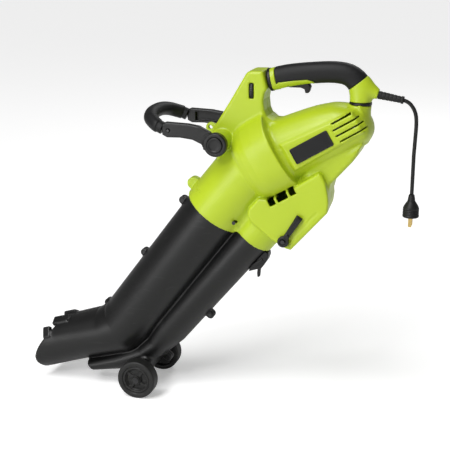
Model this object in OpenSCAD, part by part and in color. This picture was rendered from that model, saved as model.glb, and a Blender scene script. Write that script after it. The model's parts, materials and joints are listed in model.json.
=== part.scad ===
// Handheld electric leaf vacuum, blower and mulcher.
// The nozzle points towards -X, the rear handle towards +X, and the machine's left side is -Y.
// The origin lies on the floor under the middle of the machine.

/* [Suction and blower tubes] */
// Outer diameter of the suction tube
suction_d = 116; // [113:1:117]
// Outer diameter of the blower tube
blower_d = 76; // [72:1:78]
// Wall thickness of both tubes
tube_wall = 2.5; // [2:0.5:3]
// Lean of the tubes above the floor, in degrees
tube_lean = 52.5; // [52:0.5:53]

/* [Housing] */
// Radius of the fan drum
drum_r = 76; // [75:0.5:78]
// Half width of the discharge box
chute_half = 50; // [49:0.5:51]
// Half width of the pylon that carries the handle
pylon_half = 28; // [27:0.5:30]
// Wall thickness of the housing
shell_wall = 3; // [2.5:0.5:3]

/* [Handles] */
// Half height of the rear grip
grip_r = 19.5; // [19:0.5:20.5]
// Thickness of the soft cover on the rear grip
cover_t = 2.5; // [2:0.5:3]
// Radius of the tube of the front grip
loop_r = 13; // [12:0.5:14]

/* [Motor and fan] */
// Radius of the impeller
fan_r = 62; // [56:1:64]
// Number of vanes on the impeller
fan_vanes = 8; // [6:1:10]
// Radius of the stator
stator_r = 38; // [34:1:40]

/* [Wheels and cord] */
// Diameter of a ground wheel
wheel_d = 78; // [74:1:78]
// Width of a ground wheel
wheel_w = 25; // [22:1:26]
// Diameter of the power cord
cord_d = 7; // [6:0.5:8]

/* [Hidden] */

green = [0.72, 0.83, 0.16];
black = [0.13, 0.13, 0.13];
steel = [0.66, 0.67, 0.69];

// Moves the machine along X, so that the origin is under its middle
frame_x = 7.9;
// Directions in the side plane, in degrees above +X
motor_lean = 31;
nozzle_drop = 17;

// Centre of the drum's rear ridge, on the motor axis
ridge = [172.6, 514.5];
// Motor barrel: place along the motor axis, drop below it and radius of each ring
barrel_rings = [[-8, 4, 60], [83, 11.5, 53], [125, 17, 45], [146, 23, 37], [160, 27, 23]];
// Where the tube axes leave the housing's collar
suction_top = [28, 370];
blower_top = [106, 327];
// Where the tubes bend forward
suction_bend = [-162, 114];
blower_bend = [-83, 93];
wheel_at = [-105, wheel_d / 2];
wheel_face = 84;            // outer face of each wheel, from the middle plane
axle_r = 4;
pivot_at = [60, 527];        // front handle's tilt axis
lever_at = [185, 348];
trigger_at = [172, 636];
dial_at = [114, 621];
bolt_r = 5;                 // tilt bolt
shaft_r = 5;                // shafts of the lever and the trigger
run = 0.05;                 // gap of a running fit
bracket_r = 30;             // front end bell of the motor
housing_screw_points = [[88, 590], [252, 466], [292, 546]];
collar_screw_at = [88, 374];    // screw that clamps the tubes in the housing
// Front handle: inner and outer faces of its arms, and the housing's boss between them
arm_in = 66;
arm_out = 80;
boss_out = arm_in - 0.6;

suction_r = suction_d / 2;
blower_r = blower_d / 2;
tube_dir = [cos(tube_lean), sin(tube_lean)];

pylon_outline = [
    [30, 505], [35, 534], [41, 548], [74, 602], [102, 650], [106, 655], [113, 657], [134.5, 657.5],
    [143, 626], [135, 619], [130, 606], [131, 588], [138, 575], [152, 568], [205, 560], [160, 480],
    [70, 470]
];
web_outline = [[200, 450], [236, 490], [321, 534], [314, 516], [305, 502], [266, 457], [262, 440]];
chute_outline = [
    [130, 425], [112, 404], [110, 390], [116, 378], [158, 346], [184, 332], [194, 330], [260, 408],
    [257, 438], [252, 455], [246, 484], [200, 470], [160, 440]
];
vent_count = 4;
vent_pitch = 11.7;
window_count = 3;

// Rear handle: centre, direction of travel and half height of each section
handle_path = [
    [[146.5, 640], 13, 20.5], [[160, 643.5], 13, 21], [[185, 649.5], 9, 20.5],
    [[225, 655.5], 4, 19.5], [[262, 658], -4, 19.5], [[288, 654], -28, 20],
    [[305, 640.5], -55, 21], [[310.5, 623], -78, 21], [[310.5, 607.5], -90, 20]
];
handle_y = 17;

// Cord route in the side plane
cord_points = [
    [387, 613.5], [393, 611.5], [399, 607.5], [404, 601.5], [408, 594], [410.5, 585],
    [411.5, 574], [411.5, 560], [411, 545], [410.5, 530], [410, 515], [410, 500],
    [410, 485], [410, 470], [410, 455], [410, 442]
];

module centred() { translate([frame_x, 0, 0]) children(); }
module at(p) { translate([p[0], 0, p[1]]) children(); }
module facing(a) { rotate([0, 90 - a, 0]) children(); }
module slab(y0, y1) {
    translate([0, y1, 0]) rotate([90, 0, 0]) linear_extrude(y1 - y0) children();
}
module cross_rod(p, r, y0, y1) {
    translate([p[0], y1, p[1]]) rotate([90, 0, 0]) cylinder(h = y1 - y0, r = r, $fn = 48);
}
module left_half() { intersection() { children(); translate([-500, -300, -100]) cube([1000, 300, 1000]); } }
module right_half() { intersection() { children(); translate([-500, 0, -100]) cube([1000, 300, 1000]); } }
// A thin elliptical section: rx in the side plane, ry across the machine
module section(p, a, rx, ry, t = 0.4, fn = 32) {
    at(p) facing(a) translate([0, 0, -t / 2]) scale([rx, ry, 1]) cylinder(h = t, r = 1, $fn = fn);
}
// Hulls between neighbouring sections, each [point, direction, rx, ry]
module sweep(list, fn = 32) {
    for (i = [0 : len(list) - 2])
        hull() {
            section(list[i][0], list[i][1], list[i][2], list[i][3], fn = fn);
            section(list[i + 1][0], list[i + 1][1], list[i + 1][2], list[i + 1][3], fn = fn);
        }
}
module motor_frame() { at(ridge) facing(motor_lean) children(); }

// ---- Housing ----
// The outer form of the housing, shrunk by t
module housing_form(t) {
    motor_frame() {
        hull() {
            translate([0, 0, -52]) cylinder(h = 52 - t, r = drum_r - t, $fn = 64);
            translate([0, 0, -74 + t]) cylinder(h = 1, r = drum_r - 12 - t, $fn = 64);
        }
        hull() {
            for (b = barrel_rings)
                translate([b[1], 0, b[0] - (b[2] < 24 ? t : 0)]) cylinder(h = 0.5, r = b[2] - t, $fn = 48);
        }
    }
    slab(-pylon_half + t, pylon_half - t) offset(delta = -t) polygon(pylon_outline);
    slab(-36 + t, 36 - t) offset(delta = -t) polygon(web_outline);
    slab(-chute_half + t, chute_half - t) offset(delta = -t) polygon(chute_outline);
    hull() {
        section(suction_top, tube_lean, suction_r + 4 - t, suction_r + 4 - t, fn = 48);
        motor_frame() translate([0, 0, -68]) cylinder(h = 1, r = drum_r - 10 - t, $fn = 48);
        section([51, 500], tube_lean, 26 - t, 38 - t);
    }
    hull() {
        section(blower_top, tube_lean, blower_r + 4 - t, blower_r + 4 - t);
        section([134, 384], 62, 46 - t, 44 - t);
        section([106, 410], 62, 50 - t, 50 - t);
    }
    hull() {
        section([310.5, 600.8], 90, 20 - t, 19.5 - t);
        section([307, 560], 90, 21 - t, 24 - t);
    }
}
// Slots of the motor vents, as one row along the barrel's side
module vent_slots() {
    motor_frame()
        for (i = [0 : vent_count - 1])
            translate([-2.4 + i * vent_pitch, -70, 110]) cube([2.8, 140, 40]);
}
// Three small openings under the drum
module drum_windows() {
    motor_frame()
        for (i = [0 : window_count - 1])
            translate([62, -80, -52 + i * 17]) cube([11, 160, 13]);
}
// Seats inside the housing: screw bosses and ribs that hold the motor
module housing_seats() {
    intersection() {
        housing_form(1);
        union() {
            for (p = housing_screw_points) cross_rod(p, 5, -60, 60);
            motor_frame()
                for (r = [[30, stator_r], [60, stator_r], [101, bracket_r]])
                    difference() {
                        translate([0, 0, r[0]]) cylinder(h = 2.5, r = 70, $fn = 48);
                        translate([0, 0, r[0] - 1]) cylinder(h = 5, r = r[1] + 0.3, $fn = 64);
                    }
        }
    }
}
module badge_plate() {
    motor_frame() translate([18, 0, 60]) rotate([-3.9, 0, 0])
        translate([-14, -57, -38]) cube([28, 2.6, 76]);
}
module housing_shell() {
    difference() {
        union() {
            difference() {
                union() {
                    housing_form(0);
                    cross_rod(pivot_at, 20, -boss_out, boss_out);
                }
                difference() {
                    housing_form(shell_wall);
                    cross_rod(pivot_at, 14, -40, 40);
                }
            }
            housing_seats();
            // Strap eye and front lug
            hull() {
                cross_rod([28, 544], 9, -5, 5);
                cross_rod([46, 538], 9, -5, 5);
            }
            hull() {
                cross_rod([-6, 433], 12, -9, 9);
                cross_rod([14, 424], 14, -9, 9);
            }
        }
        // Mouths for the tubes
        at(suction_top) facing(tube_lean) translate([0, 0, -20]) cylinder(h = 60, r = suction_r + 1, $fn = 48);
        at(blower_top) facing(tube_lean) translate([0, 0, -20]) cylinder(h = 50, r = blower_r + 1, $fn = 48);
        // Discharge mouth
        at([229, 374]) facing(-40) translate([-52, -chute_half + 5, -14]) cube([104, 2 * chute_half - 10, 30]);
        // Bores, slots and seats
        cross_rod(pivot_at, 8, -70, 70);
        cross_rod(lever_at, 8, -chute_half - 1, chute_half + 1);
        cross_rod([28, 544], 4, -8, 8);
        cross_rod(collar_screw_at, 3.6, -70, 70);
        vent_slots();
        drum_windows();
        badge_plate();
        translate([dial_at[0] - 5.5, -pylon_half - 2, dial_at[1] - 16]) cube([11, 8, 32]);
        at([145.5, 639]) facing(13) translate([0, 0, -8]) cylinder(h = 20, r = 8, $fn = 32);
        at([310.5, 604]) facing(90) translate([0, 0, -12]) cylinder(h = 16, r = 8, $fn = 32);
    }
}
module housing_left() { color(green) left_half() housing_shell(); }
module housing_right() { color(green) right_half() housing_shell(); }

module tube_bush(p, ro, ri, y0, y1) {
    translate([p[0], y1, p[1]]) rotate([90, 0, 0])
        difference() {
            cylinder(h = y1 - y0, r = ro, $fn = 48);
            translate([0, 0, -1]) cylinder(h = y1 - y0 + 2, r = ri, $fn = 48);
        }
}
module pivot_bush() { color(black) tube_bush(pivot_at, 7.9, bolt_r + run, -boss_out, boss_out); }
module lever_bush_left() { color(black) tube_bush(lever_at, 7.9, shaft_r + run, -chute_half, -chute_half + 4); }
module lever_bush_right() { color(black) tube_bush(lever_at, 7.9, shaft_r + run, chute_half - 4, chute_half); }

module housing_screws() {
    color(steel) {
        for (p = housing_screw_points)
            translate([p[0], 12, p[1]]) rotate([90, 0, 0]) {
                cylinder(h = 34, r = 1.8, $fn = 16);
                translate([0, 0, 31]) cylinder(h = 3, r = 3.6, $fn = 24);
            }
        for (s = [-1, 1])
            translate([collar_screw_at[0], s * 52, collar_screw_at[1]]) rotate([s * 90, 0, 0]) {
                cylinder(h = 14, r = 1.6, $fn = 16);
                cylinder(h = 2.5, r = 3.3, $fn = 24);
            }
    }
}
// Ring around the impeller, open towards the discharge box
module fan_scroll() {
    color(black) motor_frame()
        difference() {
            translate([0, 0, -56]) cylinder(h = 38, r = 70, $fn = 96);
            translate([0, 0, -57]) cylinder(h = 40, r = 67, $fn = 96);
            translate([20, -34, -57]) cube([60, 68, 40]);
        }
}
module badge() { color(black) badge_plate(); }

// ---- Tubes ----
// Outer form of the suction tube and its nozzle, shrunk by t
module suction_form(t, extra = 0) {
    r = suction_r - t;
    sweep([
        [suction_top + (30 + extra) * tube_dir, tube_lean, r, r],
        [suction_bend + 36 * tube_dir, tube_lean, r, r],
        [suction_bend + [2, 6], 34, r, r],
        [suction_bend + [-33, -9], nozzle_drop, r - 8, r],
        [[-250, 88], nozzle_drop, 48 - t, 56 - t],
        [[-290, 75], nozzle_drop, 48 - t, 55 - t],
        [[-372 - extra, 50 - 0.3 * extra], nozzle_drop, 50 - t, 57 - t]
    ], 40);
}
module blower_form(t, extra = 0) {
    r = blower_r - t;
    sweep([
        [blower_top + (16 + extra) * tube_dir, tube_lean, r, r],
        [blower_bend + 40 * tube_dir, tube_lean, r - 3, r - 1],
        [blower_bend, 42, 27 - t, 36 - t],
        [[-112, 69], 14, 24 - t, 38 - t],
        [[-165, 49], 15, 20 - t, 42 - t],
        [[-236 - extra, 31 - 0.3 * extra], 15, 12 - 0.5 * t, 44 - t]
    ], 32);
}
front_bosses = [[-28, 397.5], [-110, 283], [-192, 167]];
rear_bosses = [[27, 165], [-64, 62]];
module tube_bosses() {
    for (p = front_bosses) hull() {
        cross_rod(p, 7.5, -9, 9);
        cross_rod(p + [10, -8], 9, -7, 7);
    }
    for (p = rear_bosses) hull() {
        cross_rod(p, 7, -9, 9);
        cross_rod(p + [-9, 7], 9, -7, 7);
    }
}
// Wedge lugs around the upper rim of the mouth: place, turn about the nozzle and side
lug_turns = [-28, 28, 62];
module mouth_lugs() {
    at([-308, 70]) facing(nozzle_drop)
        for (a = lug_turns)
            rotate([0, 0, 180 + a]) hull() {
                translate([44, -9, -18]) cube([10, 18, 3]);
                translate([42, -6, 16]) cube([5, 12, 3]);
            }
}
// Cuts the nozzle's slanted mouth
module mouth_cut() {
    translate([-358, -100, 10])
        rotate([0, 21, 0]) translate([-150, 0, -60]) cube([150, 200, 260]);
    translate([-211, -100, 20]) rotate([0, -42, 0]) translate([-60, 0, -40]) cube([60, 200, 62]);
}
module axle_block() {
    hull() {
        cross_rod([wheel_at[0], wheel_at[1] + 4], 11, -46, 46);
        cross_rod([-100, 62], 13, -34, 34);
    }
}
module tube_shell() {
    difference() {
        union() {
            suction_form(0);
            blower_form(0);
            tube_bosses();
            mouth_lugs();
            axle_block();
        }
        suction_form(tube_wall, 12);
        difference() {
            blower_form(tube_wall, 12);
            suction_form(0);
            axle_block();
        }
        mouth_cut();
        cross_rod(wheel_at, axle_r + 0.02, -60, 60);
    }
}
module tube_left() { color(black) left_half() tube_shell(); }
module tube_right() { color(black) right_half() tube_shell(); }
module tube_screws() {
    color(steel)
        for (p = concat(front_bosses, rear_bosses))
            translate([p[0], 7, p[1]]) rotate([90, 0, 0]) {
                cylinder(h = 14, r = 1.6, $fn = 16);
                translate([0, 0, 14]) cylinder(h = 2.4, r = 3.4, $fn = 24);
            }
}
// Bracket under the collar with a prong for the collection bag
module bag_hook() {
    color(black) {
        difference() {
            slab(-11, 11) polygon([[106, 266], [132, 275], [143, 292], [143, 299], [136, 303], [130, 300]]);
            blower_form(0);
        }
        slab(-3, 3) polygon([[123, 276], [129, 276], [127, 256], [122, 254], [121, 262]]);
    }
}
module axle() { color(steel) cross_rod(wheel_at, axle_r, -wheel_face - 2, wheel_face + 2); }
module wheel() {
    r = wheel_d / 2;
    rotate_extrude($fn = 96)
        polygon([
            [axle_r + run, 0], [9, 0], [9, 3], [22, 5], [25, 3.5], [27, 1.5], [31, 1.5], [32, 0],
            [r - 2, 0], [r, 2], [r, wheel_w - 2], [r - 2, wheel_w], [31, wheel_w], [29, wheel_w - 9],
            [11, wheel_w - 9], [11, wheel_w], [axle_r + run, wheel_w]
        ]);
}
module wheel_left() {
    color(black) translate([wheel_at[0], -wheel_face, wheel_at[1]]) rotate([-90, 0, 0]) wheel();
}
module wheel_right() {
    color(black) translate([wheel_at[0], wheel_face, wheel_at[1]]) rotate([90, 0, 0]) wheel();
}
module axle_clips() {
    color(steel)
        for (s = [-1, 1])
            tube_bush(wheel_at, 6.5, axle_r + 0.01, s * (wheel_face + 1.2) - 0.6, s * (wheel_face + 1.2) + 0.6);
}

// ---- Motor and fan, in the motor's own frame: +Z runs up the shaft to the rear ----
module impeller() {
    color(black) motor_frame()
        difference() {
            union() {
                translate([0, 0, -24]) cylinder(h = 3, r = fan_r, $fn = 96);
                translate([0, 0, -50]) cylinder(h = 28, r = 14, $fn = 48);
                for (i = [0 : fan_vanes - 1])
                    rotate([0, 0, i * 360 / fan_vanes])
                        translate([12, -1.5, -50]) cube([fan_r - 14, 3, 27]);
            }
            translate([0, 0, -51]) cylinder(h = 32, r = 5, $fn = 48);
        }
}
module shredder_blade() {
    color(steel) motor_frame()
        difference() {
            union() {
                translate([0, 0, -53]) cylinder(h = 2.5, r = 13, $fn = 48);
                for (s = [0, 180])
                    rotate([0, 0, s]) translate([0, -8, -53]) cube([44, 16, 2.5]);
            }
            translate([0, 0, -54]) cylinder(h = 5, r = 5, $fn = 48);
        }
}
module blade_nut() {
    color(steel) motor_frame()
        difference() {
            translate([0, 0, -58]) cylinder(h = 5, r = 8.5, $fn = 6);
            translate([0, 0, -59]) cylinder(h = 7, r = 5, $fn = 48);
        }
}
module motor_shaft() {
    color(steel) motor_frame() translate([0, 0, -60]) cylinder(h = 178, r = 5, $fn = 48);
}
module rotor_ring(r, z, h) {
    difference() {
        translate([0, 0, z]) cylinder(h = h, r = r, $fn = 96);
        translate([0, 0, z - 1]) cylinder(h = h + 2, r = 5, $fn = 48);
    }
}
module armature() { color([0.55, 0.35, 0.2]) motor_frame() rotor_ring(22, 22, 48); }
module commutator() { color([0.75, 0.45, 0.25]) motor_frame() rotor_ring(11, 76, 16); }
module cooling_fan() {
    color(black) motor_frame()
        translate([0, 0, 4]) linear_extrude(11) difference() {
            union() {
                circle(r = 10, $fn = 48);
                for (i = [0 : 11]) rotate(i * 30) translate([8, -0.8]) square([26, 1.6]);
            }
            circle(r = 5, $fn = 48);
        }
}
module stator() {
    color(steel) motor_frame()
        difference() {
            translate([0, 0, 24]) cylinder(h = 44, r = stator_r, $fn = 96);
            translate([0, 0, 23]) cylinder(h = 46, r = 24, $fn = 96);
        }
}
module field_coils() {
    color([0.75, 0.4, 0.2]) motor_frame()
        for (z = [19, 68])
            difference() {
                translate([0, 0, z]) cylinder(h = 5, r = stator_r - 4, $fn = 96);
                translate([0, 0, z - 1]) cylinder(h = 7, r = 26, $fn = 96);
            }
}
module motor_bulkhead() {
    color(black) motor_frame()
        difference() {
            translate([0, 0, -12]) cylinder(h = 4, r = 72, $fn = 96);
            translate([0, 0, -13]) cylinder(h = 6, r = 11, $fn = 48);
        }
}
module rear_bracket() {
    color(steel) motor_frame()
        difference() {
            union() {
                translate([0, 0, 100]) cylinder(h = 4, r = bracket_r, $fn = 96);
                translate([0, 0, 104]) cylinder(h = 8, r = 14, $fn = 48);
            }
            translate([0, 0, 99]) cylinder(h = 14, r = 11, $fn = 48);
        }
}
module bearing(z) {
    difference() {
        translate([0, 0, z]) cylinder(h = 7, r = 11, $fn = 48);
        translate([0, 0, z - 1]) cylinder(h = 9, r = 5 + run, $fn = 48);
    }
}
module front_bearing() { color(steel) motor_frame() bearing(-13); }
module rear_bearing() { color(steel) motor_frame() bearing(103); }
module brush_holders() {
    color([0.75, 0.65, 0.3]) motor_frame()
        for (s = [-1, 1])
            difference() {
                translate([s * 23 - 9, -6, 78]) cube([18, 12, 20]);
                translate([s * 23 - 10, -4, 80]) cube([20, 8, 8]);
            }
}
module carbon_brushes() {
    color([0.1, 0.1, 0.1]) motor_frame()
        for (s = [-1, 1]) translate([s * 20 - 8.5, -4, 80]) cube([17, 8, 8]);
}

// ---- Rear handle ----
function handle_list(d, a, b) =
    [for (i = [a : b]) [handle_path[i][0], handle_path[i][1], handle_path[i][2] - d,
        handle_y - d + (i == 0 || i == 8 ? 1.5 : 0)]];
module cable_gland(t) {
    hull() {
        section([318, 633], -20, 17 - t, 13 - t);
        section([341, 622], -14, 9 - t, 9 - t);
    }
}
module handle_shell() {
    difference() {
        union() {
            sweep(handle_list(cover_t, 0, 8));
            sweep(handle_list(0, 0, 1));
            sweep(handle_list(0, 6, 8));
            cable_gland(0);
        }
        sweep(handle_list(cover_t + 3, 0, 8));
        at([335, 623]) facing(-9.3) translate([0, 0, -14]) cylinder(h = 30, r = 5.5, $fn = 32);
        translate([163.6, -7, 616]) cube([59.2, 14, 29]);
        translate([165, -10.4, 629.5]) cube([14.6, 20.8, 14]);
    }
}
// The shells are mirror images of each other
module handle_shell_left() { mirror([0, 1, 0]) handle_shell_right(); }
module handle_shell_right() { color(green) right_half() handle_shell(); }
// Soft cover, open along the underside where the trigger sits
module handle_grip() {
    color(black)
        difference() {
            sweep(handle_list(0, 1, 6));
            sweep(handle_list(cover_t, 0, 8));
            at([160, 643.5]) facing(13) translate([-40, -40, -20]) cube([80, 80, 20.3]);
            at([305, 640.5]) facing(-55) translate([-40, -40, -0.3]) cube([80, 80, 20]);
            slab(-40, 40) polygon([[150, 600], [228, 600], [224, 643], [208, 644], [160, 636]]);
        }
}
module joint_ring(p, a, rx, ry, t) {
    difference() {
        section(p, a, rx, ry, t, 48);
        section(p, a, rx - 4, ry - 4, t + 1, 48);
    }
}
module front_ring() { color(black) joint_ring([143.6, 639.3], 13, 21, 19, 4.4); }
module rear_ring() { color(black) joint_ring([310.5, 604.1], 90, 20.5, 20, 5); }
module handle_screws() {
    color(steel)
        for (p = [[160, 652], [300, 650]])
            translate([p[0], 8, p[1]]) rotate([90, 0, 0]) cylinder(h = 20, r = 1.6, $fn = 16);
}
module trigger() {
    color(black)
        difference() {
            slab(-6, 6) polygon([
                [167, 631], [167, 640], [178, 641], [190, 637], [214, 637], [217, 634],
                [219.5, 630], [215, 618], [209, 618], [207.5, 625], [200, 627.5], [180, 627]
            ]);
            cross_rod(trigger_at, 2.5 + run, -7, 7);
        }
}
module trigger_pin() { color(steel) cross_rod(trigger_at, 2.5, -11.2, 11.2); }
module trigger_spring() {
    color(steel) translate([trigger_at[0], 0, trigger_at[1]]) rotate([90, 0, 0])
        for (z = [7.2, 8.6])
            translate([0, 0, z]) rotate_extrude($fn = 32) translate([4, 0]) circle(r = 0.6, $fn = 16);
}
module switch_module() { color([0.2, 0.2, 0.22]) slab(-7, 7) polygon([[184, 645.4], [184, 660], [214, 663], [214, 645.4]]); }

// ---- Speed wheel in the pylon ----
module speed_wheel() {
    color(black) translate([dial_at[0] - 4, -5, dial_at[1]]) rotate([0, 90, 0])
        linear_extrude(8) difference() {
            circle(r = 25, $fn = 96);
            circle(r = 3 + run, $fn = 48);
            for (i = [0 : 35]) rotate(i * 10) translate([25.2, 0]) rotate(45) square(1.6, center = true);
        }
}
module speed_control() {
    color(steel) translate([dial_at[0], -5, dial_at[1]]) rotate([0, 90, 0]) {
        translate([0, 0, -6]) cylinder(h = 18, r = 3, $fn = 48);
        translate([-9, -9, 6]) cube([18, 18, 7]);
    }
}

// ---- Mode lever, shaft and flap ----
lever_angle = 58.5;
module mode_lever() {
    color(black) at(lever_at)
        difference() {
            union() {
                translate([0, -chute_half - 0.5, 0]) rotate([90, 0, 0]) cylinder(h = 9.5, r = 9, $fn = 48);
                rotate([0, -lever_angle, 0]) translate([4, -chute_half - 9, -5]) cube([56, 7, 10]);
            }
            translate([0, -chute_half + 1, 0]) rotate([90, 0, 0]) cylinder(h = 8, r = shaft_r, $fn = 48);
        }
}
module lever_shaft() { color(steel) cross_rod(lever_at, shaft_r, -chute_half - 7, chute_half + 1.5); }
module diverter_flap() {
    color(black) at(lever_at)
        difference() {
            union() {
                rotate([90, 0, 0]) translate([0, 0, -43]) cylinder(h = 86, r = 8, $fn = 48);
                rotate([0, -54, 0]) translate([4, -43, -1.5]) cube([66, 86, 3]);
            }
            rotate([90, 0, 0]) translate([0, 0, -44]) cylinder(h = 88, r = shaft_r, $fn = 48);
        }
}
module lever_screw() {
    color(steel) translate([lever_at[0], -chute_half - 10, lever_at[1]]) rotate([90, 0, 0])
        cylinder(h = 1.6, r = 4, $fn = 32);
}

// ---- Front handle ----
arm_outline = [
    [-33, 535.5], [-42, 540], [-43, 551], [-42, 561], [-35, 564], [8, 563], [29, 560], [50, 550],
    [56, 538], [46, 517], [38, 516], [35, 526], [16, 534], [-8, 536.5]
];
module front_arm(side) {
    lo = side < 0 ? -arm_out : arm_in;
    difference() {
        union() {
            slab(lo, lo + arm_out - arm_in) polygon(arm_outline);
            cross_rod(pivot_at, 22, lo, lo + arm_out - arm_in);
        }
        // Pocket on the inner face, button bore and bolt bore
        slab(side < 0 ? -arm_in - 8 : arm_in - 1, side < 0 ? -arm_in + 1 : arm_in + 8)
            polygon([[-24, 542], [-24, 557], [10, 557], [28, 552], [35, 540], [28, 535], [14, 541]]);
        cross_rod(pivot_at, 15, side < 0 ? -arm_out - 1 : arm_in + 6, side < 0 ? -arm_in - 6 : arm_out + 1);
        cross_rod(pivot_at, bolt_r, -arm_out, arm_out);
    }
}
module front_arm_left() { color(black) front_arm(-1); }
module front_arm_right() { color(black) front_arm(1); }
loop_points = [
    [-43, 551, -70], [-58, 557, -66], [-73, 564, -51], [-80, 568, -28], [-82, 569, 0]
];
loop_full = concat(loop_points, [for (i = [3 : -1 : 0]) [loop_points[i][0], loop_points[i][1], -loop_points[i][2]]]);
module front_grip() {
    color(black)
        difference() {
            for (i = [0 : len(loop_full) - 2])
                hull()
                    for (p = [loop_full[i], loop_full[i + 1]])
                        translate([p[0], p[2], p[1]]) sphere(r = loop_r, $fn = 24);
            translate([-43, -100, 500]) cube([60, 200, 100]);
        }
}
module arm_screws() {
    color(steel)
        for (s = [-1, 1])
            translate([-30, s * (arm_out + 0.6), 549]) rotate([s < 0 ? -90 : 90, 0, 0]) cylinder(h = 9, r = 2.2, $fn = 24);
}
module pivot_bolt() { color(steel) cross_rod(pivot_at, bolt_r, -arm_in - 5.9, arm_in + 5.9); }
module tilt_button(side) {
    translate([pivot_at[0], side * (arm_out - 5), pivot_at[1]]) rotate([side < 0 ? 90 : -90, 0, 0])
        cylinder(h = 7, r = 14.6, $fn = 64);
}
module tilt_button_left() { color(black) tilt_button(-1); }
module tilt_button_right() { color(black) tilt_button(1); }

// ---- Cord ----
module strain_relief() {
    color(black) at([342, 621]) facing(-9.3)
        difference() {
            union() {
                cylinder(h = 43, r1 = 7.5, r2 = 6, $fn = 48);
                translate([0, 0, 41]) cylinder(h = 5, r = 7, $fn = 48);
            }
            translate([0, 0, -1]) cylinder(h = 50, r = cord_d / 2 - 0.2, $fn = 48);
        }
}
cord_sides = 10;
function cord_tangent(i) =
    let (n = len(cord_points) - 1,
         d = cord_points[min(n, i + 1)] - cord_points[max(0, i - 1)])
    d / norm(d);
function cord_ring(i) =
    let (t = cord_tangent(i), p = cord_points[i])
    [for (k = [0 : cord_sides - 1])
        let (a = 360 * k / cord_sides, u = cos(a) * cord_d / 2, w = sin(a) * cord_d / 2)
        [p[0] - t[1] * u, w, p[1] + t[0] * u]];
module power_cord() {
    n = len(cord_points);
    color(black) polyhedron(
        points = [for (i = [0 : n - 1]) each cord_ring(i)],
        faces = concat(
            [[for (k = [cord_sides - 1 : -1 : 0]) k]],
            [for (i = [0 : n - 2], k = [0 : cord_sides - 1])
                let (a = i * cord_sides + k, b = i * cord_sides + (k + 1) % cord_sides)
                [a, b, b + cord_sides, a + cord_sides]],
            [[for (k = [0 : cord_sides - 1]) (n - 1) * cord_sides + k]]
        ));
}
module plug_body() {
    color(black) translate([410, 0, 400]) {
        cylinder(h = 16, r = 15, $fn = 64);
        translate([0, 0, 16]) cylinder(h = 12, r1 = 15, r2 = 9, $fn = 64);
        translate([0, 0, 28]) cylinder(h = 14, r1 = 7.5, r2 = 5, $fn = 64);
    }
}
module plug_blades() {
    color(steel) for (s = [-1, 1]) translate([410 - 3.2, s * 6.4 - 0.75, 382]) cube([6.4, 1.5, 18]);
}

centred() housing_left();
centred() housing_right();
centred() pivot_bush();
centred() lever_bush_left();
centred() lever_bush_right();
centred() housing_screws();
centred() fan_scroll();
centred() badge();
centred() tube_left();
centred() tube_right();
centred() tube_screws();
centred() bag_hook();
centred() axle();
centred() wheel_left();
centred() wheel_right();
centred() axle_clips();
centred() impeller();
centred() shredder_blade();
centred() blade_nut();
centred() motor_shaft();
centred() armature();
centred() commutator();
centred() cooling_fan();
centred() stator();
centred() field_coils();
centred() motor_bulkhead();
centred() rear_bracket();
centred() front_bearing();
centred() rear_bearing();
centred() brush_holders();
centred() carbon_brushes();
centred() handle_shell_left();
centred() handle_shell_right();
centred() handle_grip();
centred() front_ring();
centred() rear_ring();
centred() handle_screws();
centred() trigger();
centred() trigger_pin();
centred() trigger_spring();
centred() switch_module();
centred() speed_wheel();
centred() speed_control();
centred() mode_lever();
centred() lever_shaft();
centred() diverter_flap();
centred() lever_screw();
centred() front_arm_left();
centred() front_arm_right();
centred() front_grip();
centred() arm_screws();
centred() pivot_bolt();
centred() tilt_button_left();
centred() tilt_button_right();
centred() strain_relief();
centred() power_cord();
centred() plug_body();
centred() plug_blades();
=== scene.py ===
# Handheld leaf vacuum mulcher: a green moulded housing on black twin tubes.
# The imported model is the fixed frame; every piece here stands for the CAD node it replaces.
import json
import math
import time
import bpy
import numpy as np
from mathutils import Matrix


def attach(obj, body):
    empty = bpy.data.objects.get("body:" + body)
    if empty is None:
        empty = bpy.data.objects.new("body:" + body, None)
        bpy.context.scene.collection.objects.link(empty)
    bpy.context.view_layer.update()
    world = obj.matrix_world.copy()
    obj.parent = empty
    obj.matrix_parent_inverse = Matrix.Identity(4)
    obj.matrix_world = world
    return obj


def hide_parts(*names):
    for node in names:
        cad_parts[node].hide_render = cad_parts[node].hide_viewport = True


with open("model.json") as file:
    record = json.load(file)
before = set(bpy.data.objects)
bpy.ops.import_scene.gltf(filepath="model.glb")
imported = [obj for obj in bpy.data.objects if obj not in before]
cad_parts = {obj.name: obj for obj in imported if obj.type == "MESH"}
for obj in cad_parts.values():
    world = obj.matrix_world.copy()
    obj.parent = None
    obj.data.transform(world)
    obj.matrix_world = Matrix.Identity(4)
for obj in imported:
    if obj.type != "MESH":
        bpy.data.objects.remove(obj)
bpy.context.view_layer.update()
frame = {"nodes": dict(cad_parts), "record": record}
startTime = time.time()

# Shapes are worked out in millimetres in the side plane (x forward to back, z up, y across).
# This puts them over the frame's origin.
centreShift = 7.9
slotOf = {part["node"]: part["material_slot"] for part in frame["record"]["subparts"]}


def stage(text):
    print("[%5.1f s] %s" % (time.time() - startTime, text))


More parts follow.
